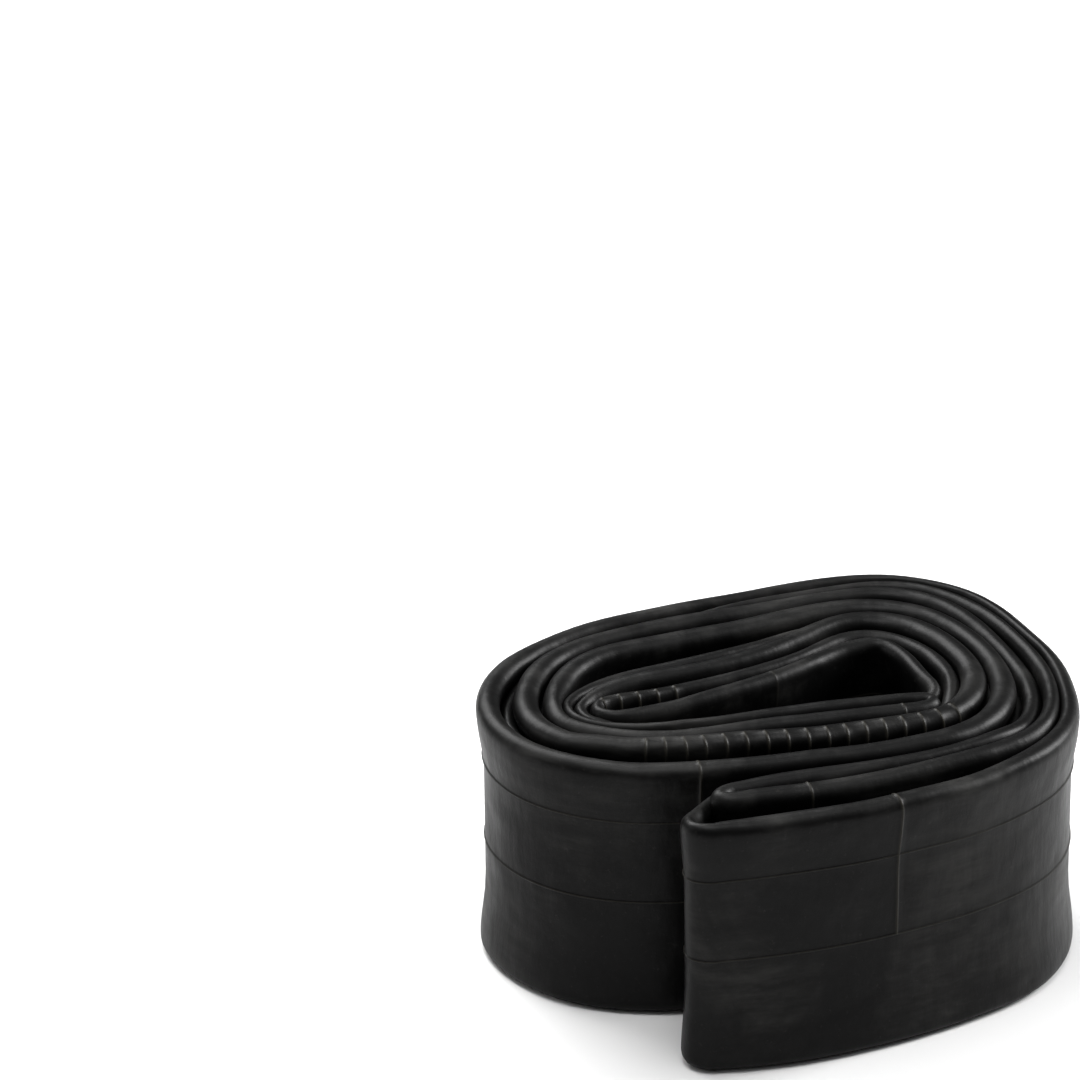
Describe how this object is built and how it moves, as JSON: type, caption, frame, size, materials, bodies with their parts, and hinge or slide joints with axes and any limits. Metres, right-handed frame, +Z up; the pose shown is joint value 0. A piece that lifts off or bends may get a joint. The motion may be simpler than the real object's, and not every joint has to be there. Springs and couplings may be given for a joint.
{
  "type": "bicycle inner tube",
  "caption": "Butyl bicycle inner tube pressed flat, folded and rolled into an oval coil, with a capped car-type valve lying in its hollow.",
  "frame": {"origin": "middle of the coil's footprint, on the surface it stands on", "axes": "+X along the coil's long side, +Y from the front flap towards the back, +Z up, along the width of the flattened tube"},
  "size_m": [0.1071, 0.0826, 0.05],
  "materials": {
    "butyl_rubber": "semi-matte, lightly dusted",
    "patch_rubber": "matte",
    "sleeve_rubber": "matte",
    "stem_brass": "machined",
    "plug_brass": "machined",
    "barrel_brass": "machined",
    "gasket_rubber": "matte",
    "pin_brass": "machined",
    "cup_rubber": "matte",
    "spring_steel": "drawn wire",
    "cap_plastic": "moulded",
    "seal_rubber": "matte"
  },
  "bodies": {
    "coil": {"rubber_tube": "butyl_rubber", "valve_base_patch": "patch_rubber", "stem_rubber_sleeve": "sleeve_rubber", "valve_stem": "stem_brass", "core_plug": "plug_brass", "core_barrel": "barrel_brass", "core_gasket": "gasket_rubber", "core_spring": "spring_steel"},
    "pin": {"core_pin": "pin_brass", "pin_cup": "cup_rubber"},
    "cap_carrier": {"cap_seal": "seal_rubber"},
    "cap": {"valve_cap": "cap_plastic"}
  },
  "joints": [
    {"name": "cap_travel", "type": "slide", "parent": "coil", "child": "cap_carrier", "axis": [-0.9976, 0.0698, 0], "range_m": [0, 0.00476]},
    {"name": "cap_turn", "type": "hinge", "parent": "cap_carrier", "child": "cap", "pos_m": [-0.02223, 0.00564, 0.025], "axis": [-0.9976, 0.0698, 0], "range_deg": [0, 2160]},
    {"name": "pin_press", "type": "slide", "parent": "coil", "child": "pin", "axis": [0.9976, -0.0698, 0], "range_m": [0, 0.0012], "stiffness_N_per_m": 800, "springref_m": -0.0015}
  ],
  "couplings": [
    {"joint": "cap_turn", "follows": "cap_travel", "rad_per_m": 7913.3}
  ]
}
